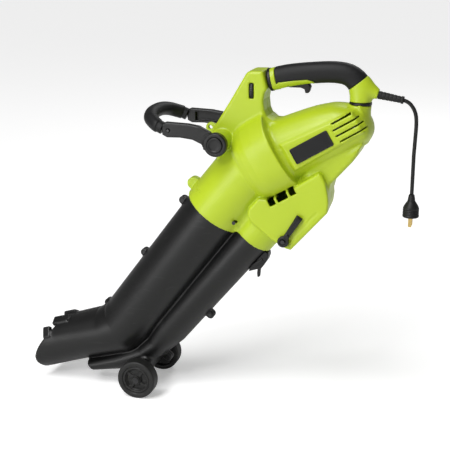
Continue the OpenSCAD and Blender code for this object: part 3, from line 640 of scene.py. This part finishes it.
def housingForm(x, y, z):
    # The outer form, with the fillets between its masses
    part = housing
    along, drop = alongAxis(x, z, part["motorAt"], part["lean"])
    power = part["drumSquareness"]
    away = (np.abs(drop) ** power + np.abs(y / part["drumFlat"]) ** power) ** (1 / power)
    drum = both(turned(along, away, part["drum"]), along, part["edge"] + 0.4)
    barrelRows = smoothPath(part["barrel"], 6)
    sink, high, wide = (np.interp(along, barrelRows[:, 0], barrelRows[:, k]) for k in (1, 2, 3))
    power = part["squareness"]
    away = (np.abs((drop - sink) / high) ** power + np.abs(y / wide) ** power) ** (1 / power)
    barrel = turned(along, away * high, barrelRows[:, [0, 2]])
    # Flat side for the badge and the vents, sloping with the barrel
    panelFace = np.abs(y) - (55.4 - (along - 60) * 0.066)
    panel = np.maximum(np.maximum(12 - along, along - 156 + 0.12 * np.abs(drop - 16)),
                       np.abs(drop - 15 - 0.02 * along) - 28 + 0.05 * along)
    barrel = join(barrel, roundedEnds(panel, panelFace, 5), 5)
    form = join(drum, barrel, 7)
    form = join(form, slab(x, y, z, part["web"], 36, 7), 8)
    form = join(form, slab(x, y, z, part["pylon"], 28, 5), 6)
    # Collar of the suction tube, widening up to the drum
    start = part["suctionMouth"]
    up, _ = alongAxis(x, z, start, part["tubeLean"])
    leanTo = (114 - start[0]) / (480 - start[1])
    middleX = start[0] + (z - start[1]) * leanTo
    across = (x - middleX) * math.sin(math.atan2(480 - start[1], 114 - start[0]))
    collar = np.hypot(across, y) - part["suctionRadius"]
    collar = np.maximum(np.maximum(collar, -up), z - 520)
    form = join(form, collar, 3)
    # Collar of the blower tube
    start = part["blowerMouth"]
    up, side = alongAxis(x, z, start, part["tubeLean"])
    collar = np.hypot(side, y) - (part["blowerRadius"] + 0.05 * up)
    collar = np.maximum(np.maximum(collar, -up), up - 85)
    form = join(form, collar, 14)
    form = join(form, slab(x + 0.08 * y, y, z, part["chute"], 50, 4.5), 2.5)
    # Leg that carries the rear of the handle
    leg = np.hypot(x - 307 - (z - 560) * 0.08, y * 0.92) - 20.5 + (z - 560) * 0.012
    leg = np.maximum(leg, np.maximum(535 - z, z - 600.8))
    return join(form, leg, 10)


def housingHalf(side):
    # side is -1 for the left half, which has the speed slot, and 1 for the right
    part = housing

    def field(x, y, z):
        along, drop = alongAxis(x, z, part["motorAt"], part["lean"])
        outer = housingForm(x, y, z)
        boss = rod(x, y, z, part["pivot"], part["pivotRadius"], -part["pivotOut"], part["pivotOut"], 1.5)
        outer = join(outer, boss, 4)
        shell = cut(outer, outer + part["wall"], 0.4)
        shell = np.minimum(shell, bar(x, y, z, part["strapEye"], (46, 538), 9, 5, 1.5))
        shell = np.minimum(shell, np.maximum(bar(x, y, z, *part["collarBoss"], 12, 9, 2), -outer - 3))
        for start, radius, depth in ((part["suctionMouth"], 58.3, 30), (part["blowerMouth"], 38.3, 20)):
            shell = cut(shell, tube(x, y, z, start, part["tubeLean"], radius, -30, depth, 0.5), 0.7)
        shell = cut(shell, box(x, y, z, part["discharge"], -40, -52, 52, -16, 14, -45, 45), 0.8)
        shell = cut(shell, rod(x, y, z, part["pivot"], 8, -70, 70, 0.2), 0.5)
        shell = cut(shell, rod(x, y, z, part["lever"], 8, -55, 55, 0.2), 0.5)
        shell = cut(shell, rod(x, y, z, part["strapEye"], 4, -8, 8, 0.2), 0.8)
        shell = cut(shell, rod(x, y, z, part["collarScrew"], 3.6, -70, 70, 0.2), 0.8)
        for low, start, end in part["vents"]:
            slot = np.maximum(np.abs(along - (start + end) / 2) - (end - start) / 2, np.abs(drop - low) - 1.4)
            shell = cut(shell, np.maximum(slot, 15 - np.abs(y)), 0.5)
        for start, end in part["windows"] if side < 0 else []:
            gap = np.maximum(np.abs(along - (start + end) / 2) - (end - start) / 2, np.abs(drop - 73.5) - 7.6)
            shell = cut(shell, np.maximum(gap, 20 - np.abs(y)), 0.5)
        # Groove beside the discharge lip
        groove = box(x, np.abs(y), z, part["groove"], part["lipLean"], -46, 46, -1.6, 1.6, 49, 64, 0.6)
        shell = cut(shell, groove, 0.6)
        shell = cut(shell, tube(x, y, z, (145.5, 639), 13, 8, -8, 12, 0.3), 0.5)
        shell = cut(shell, rod(x, y, z, (310.5, 604), 8, -8, 8, 0.3), 0.5)
        if side < 0:
            dialX, dialZ = part["dial"]
            acrossSlot, upSlot = np.abs(x - dialX) - 2.1, np.abs(z - dialZ) - 12
            slot = np.hypot(np.maximum(acrossSlot, 0), np.maximum(upSlot, 0)) - 2.5
            shell = cut(shell, np.maximum(slot, y + 20), 1.2)
        else:
            for at in part["screws"]:
                shell = cut(shell, np.maximum(rod(x, y, z, at, 3.8, 10, 80, 0.2), -outer - 2.2), 0.6)
        return cut(shell, side * y - part["seam"], 0.5)
    return field


def buildHousing():
    low, high = np.array([-24, -72, 308]), np.array([336, 72, 664])
    for side, word in ((-1, "Left"), (1, "Right")):
        corner, opposite = low.copy(), high.copy()
        corner[1], opposite[1] = (-80, 3) if side < 0 else (-3, 80)
        makeField("housing" + word, housingHalf(side), corner, opposite, housing["step"],
                  "green_plastic", ["housing_" + word.lower()])


buildHousing()

badge = {"at": (61, 18.5), "size": (77, 30), "corner": 3.0, "thick": 2.6, "face": 58.0, "slope": 0.068,
         "rim": 1.6}


def buildBadge():
    def field(x, y, z):
        along, drop = alongAxis(x, z, housing["motorAt"], housing["lean"])
        a = np.abs(along - badge["at"][0]) - badge["size"][0] / 2 + badge["corner"]
        d = np.abs(drop - badge["at"][1]) - badge["size"][1] / 2 + badge["corner"]
        flat = (np.hypot(np.maximum(a, 0), np.maximum(d, 0)) + np.minimum(np.maximum(a, d), 0)
                - badge["corner"])
        out = -y - (badge["face"] - (along - badge["at"][0]) * badge["slope"])
        plate = roundedEnds(flat, np.abs(out + badge["thick"] / 2) - badge["thick"] / 2, 0.6)
        return cut(plate, np.maximum(flat + badge["rim"], -0.35 - out), 0.2)
    makeField("badgePlate", field, (180, -66, 488), (284, -48, 592), 0.8, "badge_plastic", ["badge"])


buildBadge()

# Tubes
tubes = {
    "step": 2.0, "wall": 3.6, "seam": 0.3,
    # x, z, half height, half width, squareness
    "suction": [(46.3, 393.8, 58, 58, 2), (-140.1, 142.6, 58, 58, 2), (-160, 120, 58, 58, 2),
                (-195, 105, 50, 58, 2.1), (-250, 88, 48, 56, 2.2), (-290, 75, 48, 55, 2.3),
                (-372, 50, 50, 57, 2.4), (-400, 41.5, 51, 58, 2.4)],
    "blower": [(115.5, 339.9, 38, 38, 2), (-58, 125.5, 35, 37, 2), (-83, 93, 27, 36, 2),
               (-112, 69, 24, 38, 2.2), (-165, 49, 20, 42, 2.4), (-236, 31, 12, 44, 2.6),
               (-262, 24, 9, 44, 2.6)],
    "frontBosses": [(-28, 397.5), (-110, 283), (-192, 167)], "rearBosses": [(27, 165), (-64, 62)],
    # Turn from the top, reach from the nozzle's middle, half width, and where it starts and ends
    "lugs": [(-28, 54.5, 10, 19, 47), (25, 54.8, 10.5, 12, 49), (54, 57, 12, -7, 10)],
    "lugsAt": (-308, 70), "lugsLean": 17.0,
    "mouth": [(-304, -20), (-313, 3), (-326, 18), (-336, 32), (-339.5, 46), (-335.5, 62), (-326, 80),
              (-313, 97), (-301, 113), (-284, 136)],
    "blowerSlant": 42.0, "wheelAt": (-105, 39), "axle": 4.02,
}


def lugField(x, y, z, suction):
    # Blocks round the top of the nozzle, each bounded by its reach, its width and its ends
    along, drop = alongAxis(x, z, tubes["lugsAt"], tubes["lugsLean"])
    lugs = np.full(np.broadcast(x, y, z).shape, 1e3)
    for turn, reach, half, start, end in tubes["lugs"]:
        c, s = math.cos(math.radians(turn)), math.sin(math.radians(turn))
        radial, lateral = -drop * c - y * s, -drop * s + y * c
        sides = roundedEnds(radial - reach, np.abs(lateral) - half, 3)
        block = roundedEnds(sides, np.abs(along - (start + end) / 2) - (end - start) / 2, 3)
        lugs = np.minimum(lugs, np.maximum(block, 40 - radial))
    return cut(lugs, suction + tubes["wall"] + 1, 0.8)


def tubeHalf(side):
    part = tubes
    # What lies in front of the nozzle's mouth
    mouth = smoothPath(part["mouth"], 4).tolist() + [(-284, 260), (-450, 260), (-450, -20)]

    def field(x, y, z):
        suction = pathField(x, y, z, part["suction"])
        suctionEnd, _ = alongAxis(x, z, part["suction"][0][:2], housing["tubeLean"])
        blower = pathField(x, y, z, part["blower"])
        blowerEnd, _ = alongAxis(x, z, part["blower"][0][:2], housing["tubeLean"])
        slant = math.radians(part["blowerSlant"])
        blowerCut = (x + 211) * math.cos(slant) + (z - 20) * math.sin(slant)
        solid = join(suction, blower, 4)
        for at in part["frontBosses"]:
            solid = join(solid, bar(x, y, z, at, (at[0] + 10, at[1] - 8), 7.8, 8.6, 2), 3)
        for at in part["rearBosses"]:
            solid = join(solid, bar(x, y, z, at, (at[0] - 9, at[1] + 7), 7.6, 8.6, 2), 3)
        block = bar(x, y, z, (part["wheelAt"][0], 43), (-101, 58), 11.5, 40, 3)
        solid = join(solid, block, 5)
        solid = cut(solid, suction + part["wall"], 0.5)
        solid = cut(solid, np.maximum(np.maximum(blower + part["wall"], -suction - 0.5), -block), 0.5)
        solid = cut(solid, outlineField(x, z, mouth), 1.2)
        solid = join(solid, lugField(x, y, z, suction), 3)
        solid = cut(solid, np.maximum(blowerCut, np.maximum(z - 52, 0.4 - suction)), 0.8)
        solid = np.where(z > 250, np.maximum(solid, np.where(suction < blower, suctionEnd, blowerEnd)), solid)
        solid = cut(solid, rod(x, y, z, part["wheelAt"], part["axle"], -60, 60, 0.2), 0.4)
        return cut(solid, side * y - part["seam"], 0.5)
    return field


def buildTubes():
    for side, word in ((-1, "Left"), (1, "Right")):
        low, high = (-352, -66 if side < 0 else -3, 4), (140, 3 if side < 0 else 66, 412)
        makeField("tube" + word, tubeHalf(side), low, high, tubes["step"], "black_plastic",
                  ["tube_" + word.lower()])


buildTubes()

# Bag bracket and wheels
bagHook = {
    "outline": [(106, 266), (132, 275), (143, 292), (146, 301), (145, 308), (138, 310), (128, 303),
                (112, 285)],
    "rib": [(118, 277), (136, 290), (134, 296), (112, 281)],
    "prong": [(123, 277), (129, 277), (127, 256), (124.5, 253.5), (122, 254), (121, 262)], "half": 11.0,
}


def buildBagHook():
    def field(x, y, z):
        plate = slab(x, y, z, bagHook["outline"], bagHook["half"], 2.2)
        plate = join(plate, slab(x, y, z, bagHook["prong"], 3, 1), 1.5)
        rib = slab(x, y, z, bagHook["rib"], 13, 0.8)
        plate = np.minimum(plate, np.maximum(rib, 4 - np.abs(y)))
        return cut(plate, pathField(x, y, z, tubes["blower"]) - 0.2, 0.4)
    makeField("bagHook", field, (100, -16, 248), (150, 16, 314), 1.0, "black_plastic", ["bag_hook"])


wheel = {"at": (-105, 39), "radius": 39.0, "width": 25.0, "face": 84.0, "bore": 4.05, "spokes": 4,
         "pocket": 3.2, "sides": 192}


def wheelProfile():
    # Once round the rim's section, outer face first
    r, w = wheel["radius"], wheel["width"]
    keys = [(0, wheel["bore"]), (0, 5.2), (-0.6, 8.2), (0.2, 9), (3, 9.4), (3.1, 10.2), (3.4, 13), (3.7, 16),
            (4, 19), (4.2, 21.4), (4.2, 22.6), (2.2, 23.4), (1.2, 24.2), (1.1, 25.5), (1.5, 26.4), (2.4, 27),
            (2.5, 28), (1.6, 28.8), (0.6, 29.3), (0.1, 30.4), (0, 33), (0.1, 35.6), (0.5, 37.2), (1.3, 38.3),
            (2.4, 38.9), (3.6, r), (w / 2, r), (w - 3.6, r), (w - 2.4, r - 0.1), (w - 1.2, r - 0.8),
            (w - 0.3, r - 2.2), (w, 35), (w, 31), (w - 0.8, 30), (w - 8.5, 28.6), (w - 9, 27.5), (w - 9, 13),
            (w - 8.5, 11.3), (w - 0.6, 11), (w, 10.4), (w, wheel["bore"])]
    rows = np.array(keys)
    fine = [rows[0]]
    for a, b in zip(rows, rows[1:]):
        pieces = max(1, int(np.linalg.norm(b - a) / 0.9))
        fine += [a + (b - a) * (k + 1) / pieces for k in range(pieces)]
    return np.array(fine)


def buildWheels():
    def pockets(height, radius, angle):
        # Recesses between the spokes of the outer disc
        ring = np.clip((radius - 10.6) / 0.9, 0, 1) * np.clip((21.6 - radius) / 0.9, 0, 1)
        wave = np.abs(np.mod(angle * wheel["spokes"] / (2 * math.pi) + 0.12, 1) - 0.5) * 2
        gap = np.clip((wave - 3.4 / radius) * radius / 1.6, 0, 1)
        front = height < 8
        return height + np.where(front, wheel["pocket"] * ring * gap, 0), radius
    for side, word in ((-1, "Left"), (1, "Right")):
        at = (wheel["at"][0], side * wheel["face"], wheel["at"][1])
        points, faces = latheSurface(wheelProfile(), at, (0, -side, 0), wheel["sides"], pockets, True)
        piece = makePiece("wheel" + word, points, faces, "wheel_plastic", ["wheel_" + word.lower()])
        sharpen(piece, 50)


buildBagHook()
buildWheels()
stage("bag bracket and wheels")

# Rear handle
rearHandle = {
    "step": 1.3, "cover": 2.5, "wall": 3.0, "seam": 0.25,
    # x, z, half height, half width and squareness
    "path": [(130, 636.2, 20.5, 18.5, 2.3), (146.5, 640, 20.5, 18.5, 2.3), (160, 643.5, 21, 17, 2.3),
             (185, 649.5, 20.5, 17, 2.3), (225, 655.5, 19.5, 17, 2.3), (262, 658, 19.5, 17, 2.2),
             (288, 654, 20, 17, 2.1), (305, 640.5, 21, 17, 2.1), (310.5, 623, 21, 17.5, 2),
             (310.5, 607.5, 20, 18.5, 2), (310.5, 590, 20, 18.5, 2)],
    "frontEnd": ((146.5, 640), 13), "rearEnd": ((310.5, 607.5), -90),
    "gripStart": ((155.5, 642.4), 13), "gripEnd": ((305, 640.5), -52),
    "underGrip": [(140, 590), (232, 590), (230, 632), (225, 641), (214, 644.2), (190, 641.5), (160, 636.5)],
    "gland": [(318, 633, 17, 13, 2), (341, 622, 9, 9, 2)],
    "frontRing": ((144.5, 639.5), 13, 21.4, 19.4, 6.2), "rearRing": ((310.5, 604.1), 90, 20.5, 20, 5),
}


def smoothRows(rows, steps=5):
    return smoothPath(rows, steps).tolist()


def gripZone(x, y, z):
    # Negative where the soft cover lies
    start, _ = alongAxis(x, z, *rearHandle["gripStart"])
    end, _ = alongAxis(x, z, *rearHandle["gripEnd"])
    zone = both(-start, end, 2)
    return cut(zone + 0 * y, outlineField(x, z, rearHandle["underGrip"]) + 0 * y, 3)


def shellField(x, y, z):
    part = rearHandle
    path = smoothRows(part["path"], 3)
    whole = pathField(x, y, z, path)
    front, _ = alongAxis(x, z, *part["frontEnd"])
    rear, _ = alongAxis(x, z, *part["rearEnd"])
    ends = np.maximum(-front, np.where(x > 250, rear, -50))
    gland = pathField(x, y, z, part["gland"])
    glandEnd, _ = alongAxis(x, z, (341.5, 621.8), -14)
    gland = both(gland, glandEnd, 1.2)
    core = whole + part["cover"] + 0.15
    cover = cut(whole, gripZone(x, y, z) - 0.35, 0.7)
    form = np.minimum(core, cover)
    form = join(form, gland, 7)
    form = both(form, ends, 0.8)
    form = cut(form, np.maximum(whole + part["cover"] + part["wall"], x - 330), 0.4)
    form = cut(form, tube(x, y, z, (335, 623), -9.3, 5.5, -14, 20, 0.3), 0.5)
    form = cut(form, box(x, y, z, (163.6, 616), 0, 0, 59.2, -29, 0, -7, 7, 0.6), 0.8)
    return cut(form, box(x, y, z, (165, 629.5), 0, 0, 14.6, -14, 0, -10.4, 10.4, 0.4), 0.4)


def gripField(x, y, z):
    part = rearHandle
    whole = pathField(x, y, z, smoothRows(part["path"], 3))
    cover = both(whole, gripZone(x, y, z), 1.2)
    return cut(cover, whole + part["cover"], 0.2)


def ringField(values):
    at, lean, high, wide, thick = values

    def field(x, y, z):
        along, drop = alongAxis(x, z, at, lean)
        ratio = np.hypot(drop / high, y / wide)
        rim = (ratio - 1) * min(high, wide)
        rim = np.maximum(rim, -rim - 4)
        return roundedEnds(rim, np.abs(along) - thick / 2, 0.7)
    return field


def buildRearHandle():
    step = rearHandle["step"]
    for side, word in ((-1, "Left"), (1, "Right")):
        def half(x, y, z, side=side):
            return cut(shellField(x, y, z), side * y - rearHandle["seam"], 0.4)
        low, high = (138, -24 if side < 0 else -2, 598), (354, 2 if side < 0 else 24, 684)
        makeField("handleShell" + word, half, low, high, step, "green_plastic",
                  ["handle_shell_" + word.lower()])
    makeField("handleGrip", gripField, (152, -22, 612), (322, 22, 684), step, "soft_grip", ["handle_grip"])
    makeField("frontRing", ringField(rearHandle["frontRing"]), (132, -22, 612), (156, 22, 664), 1.0,
              "black_plastic", ["front_ring"])
    makeField("rearRing", ringField(rearHandle["rearRing"]), (286, -23, 599), (335, 23, 610), 1.0,
              "black_plastic", ["rear_ring"])


trigger = {"outline": [(167, 631), (167, 640), (178, 641), (190, 637), (214, 637), (217, 634), (219.5, 630),
                       (217, 621), (214.5, 618), (209.5, 618), (207.5, 625), (200, 627.5), (180, 627)],
           "hollow": [(182, 632), (212, 633), (212, 640), (182, 640)], "half": 6.0, "pin": (172, 636)}


def buildTrigger():
    def field(x, y, z):
        lever = slab(x, y, z, trigger["outline"], trigger["half"], 1.8)
        hollow = np.maximum(outlineField(x, z, trigger["hollow"]), np.abs(y) - 4)
        lever = cut(lever, hollow, 0.5)
        return cut(lever, rod(x, y, z, trigger["pin"], 2.55, -8, 8, 0.1), 0.3)
    makeField("trigger", field, (163, -8, 614), (223, 8, 644), 0.9, "black_plastic", ["trigger"])


dial = {"at": (118, -5, 621), "radius": 25.0, "thick": 8.0, "knurls": 36, "bore": 3.05}


def buildDial():
    def knurled(height, radius, angle):
        rim = np.clip(radius - 23.5, 0, 1)
        return height, radius - rim * 0.6 * (0.5 - 0.5 * np.cos(angle * dial["knurls"])) ** 2
    r, w = dial["radius"], dial["thick"]
    profile = [(0, dial["bore"]), (0, 12), (0, 21), (0.3, 23.4), (1, 24.6), (1.8, r), (w - 1.8, r),
               (w - 1, 24.6), (w - 0.3, 23.4), (w, 21), (w, 12), (w, dial["bore"])]
    points, faces = latheSurface(profile, dial["at"], (-1, 0, 0), 288, knurled, True)
    sharpen(makePiece("speedWheel", points, faces, "black_plastic", ["speed_wheel"]), 40)


buildRearHandle()
buildTrigger()
buildDial()
stage("rear handle")

# Mode lever
lever = {"at": (185, 348), "angle": 58.5, "hub": 10.6, "inner": 50.5, "outer": 60.0, "shaft": 5.05}


def buildLever():
    def field(x, y, z):
        along, drop = alongAxis(x, z, lever["at"], lever["angle"])
        hub = rod(x, y, z, lever["at"], lever["hub"], -lever["outer"], -lever["inner"], 1.6)
        # The arm widens towards a square end and thins away from the hub
        wide = 5.9 + along * 0.03
        arm = np.maximum(np.abs(drop) - wide, np.abs(along - 31) - 29)
        top = -y - (58.6 - along * 0.02)
        arm = roundedEnds(arm + 1.2, np.maximum(top, y + 52.6), 1.6)
        grip = np.maximum(np.maximum(np.abs(drop) - 4, np.abs(along - 47) - 9), -y - 59.6)
        arm = join(arm, np.maximum(grip, y + 53), 1.2)
        knob = roundedEnds(np.hypot(along - 12, drop) - 5.4, np.abs(-y - 57.0) - 3.4, 1.2)
        whole = join(join(hub, arm, 3), knob, 1.5)
        for k in range(4):
            rib = np.maximum(np.abs(along - 42 - 3.6 * k) - 0.5, 59 + y)
            whole = cut(whole, np.maximum(rib, np.abs(drop) - 2.4), 0.3)
        fromHub = np.hypot(x - lever["at"][0], z - lever["at"][1])
        recess = roundedEnds(fromHub - 5.6, np.abs(-y - 60.4) - 1.4, 0.2)
        whole = cut(whole, recess, 0.5)
        return cut(whole, rod(x, y, z, lever["at"], lever["shaft"], -59, -45, 0.1), 0.3)
    makeField("modeLever", field, (170, -62, 334), (226, -50, 408), 0.8, "black_plastic", ["mode_lever"])


# Front handle
frontHandle = {
    "outline": [(-33, 535.5), (-42, 540), (-43, 551), (-42, 561), (-35, 564), (8, 563), (29, 560), (50, 550),
                (56, 538), (46, 517), (38, 516), (35, 526), (16, 534), (-8, 536.5)],
    "pocket": [(-24, 542), (-24, 557), (10, 557), (28, 552), (35, 540), (28, 535), (14, 541)],
    "pivot": (60, 527), "disc": 22.0, "inner": 66.0, "outer": 80.0, "bore": 15.0, "bolt": 5.0,
    "screw": (-30, 549), "step": 1.1,
    "loop": [(-43, -70, 551), (-50, -69.3, 554), (-58, -66, 557), (-73, -51, 564), (-80, -28, 568),
             (-82, 0, 569), (-80, 28, 568), (-73, 51, 564), (-58, 66, 557), (-50, 69.3, 554), (-43, 70, 551)],
    "loopRadius": 13.0,
}


def armField(side):
    part = frontHandle

    def field(x, y, z):
        out = side * y
        face = out - part["outer"] + 1.4
        armBody = roundedEnds(outlineField(x, z, part["outline"]), np.maximum(face, part["inner"] - out), 3.2)
        disc = np.hypot(x - part["pivot"][0], z - part["pivot"][1])
        middle = (part["inner"] + part["outer"]) / 2
        hub = roundedEnds(disc - part["disc"], np.abs(out - middle) - 7, 2.6)
        # A raised line between the arm and the hub
        collar = np.maximum(np.abs(disc - 24.5) - 1.2, np.maximum(outlineField(x, z, part["outline"]) + 0.4,
                                                                  out - part["outer"] + 0.2))
        whole = join(np.minimum(armBody, np.maximum(collar, part["inner"] + 4 - out)), hub, 1.2)
        pocket = roundedEnds(outlineField(x, z, part["pocket"]) - 1, out - part["inner"] - 8, 1.5)
        whole = cut(whole, pocket, 1.0)
        whole = cut(whole, np.maximum(disc - part["bore"], part["inner"] + 6 - out), 0.7)
        whole = cut(whole, disc - part["bolt"], 0.4)
        screw = np.hypot(x - part["screw"][0], z - part["screw"][1])
        return cut(whole, np.maximum(screw - 3.4, 77.4 - out), 0.6)
    return field


def buildFrontHandle():
    part = frontHandle
    for side, word in ((-1, "Left"), (1, "Right")):
        y0, y1 = sorted((side * 64, side * 82))
        makeField("frontArm" + word, armField(side), (-47, y0, 502), (84, y1, 568), part["step"],
                  "black_plastic", ["front_arm_" + word.lower()])
        # Button with a dished cap
        profile = [(0, 12.5), (0, 14), (0.6, 14.6), (5.4, 14.6), (6.2, 14.3), (6.8, 13.5), (7, 12.4),
                   (6.9, 11.4), (6.3, 10.6), (6, 9.6), (5.9, 6), (5.85, 2)]
        at = (part["pivot"][0], side * (part["outer"] - 5), part["pivot"][1])
        points, faces = latheSurface(profile, at, (0, side, 0), 96)
        makePiece("tiltButton" + word, points, faces, "black_plastic", ["tilt_button_" + word.lower()])
    loop = smoothPath(part["loop"], 12)
    # Each end is a ring of the arm's own width before the padded grip swells
    along = np.concatenate([[0], np.cumsum(np.linalg.norm(np.diff(loop, axis=0), axis=1))])
    fromEnd = np.minimum(along, along[-1] - along)
    swell = np.interp(fromEnd, [0, 7, 9, 11, 30], [-1.4, -1.4, -0.6, 0, 0.2])
    groove = -0.9 * np.exp(-((fromEnd - 8.5) / 0.9) ** 2)
    points, faces = sweepSurface(loop, part["loopRadius"] + swell + groove, 64)
    makePiece("frontGrip", points, faces, "soft_grip", ["front_grip"])


buildLever()
buildFrontHandle()
stage("front handle")
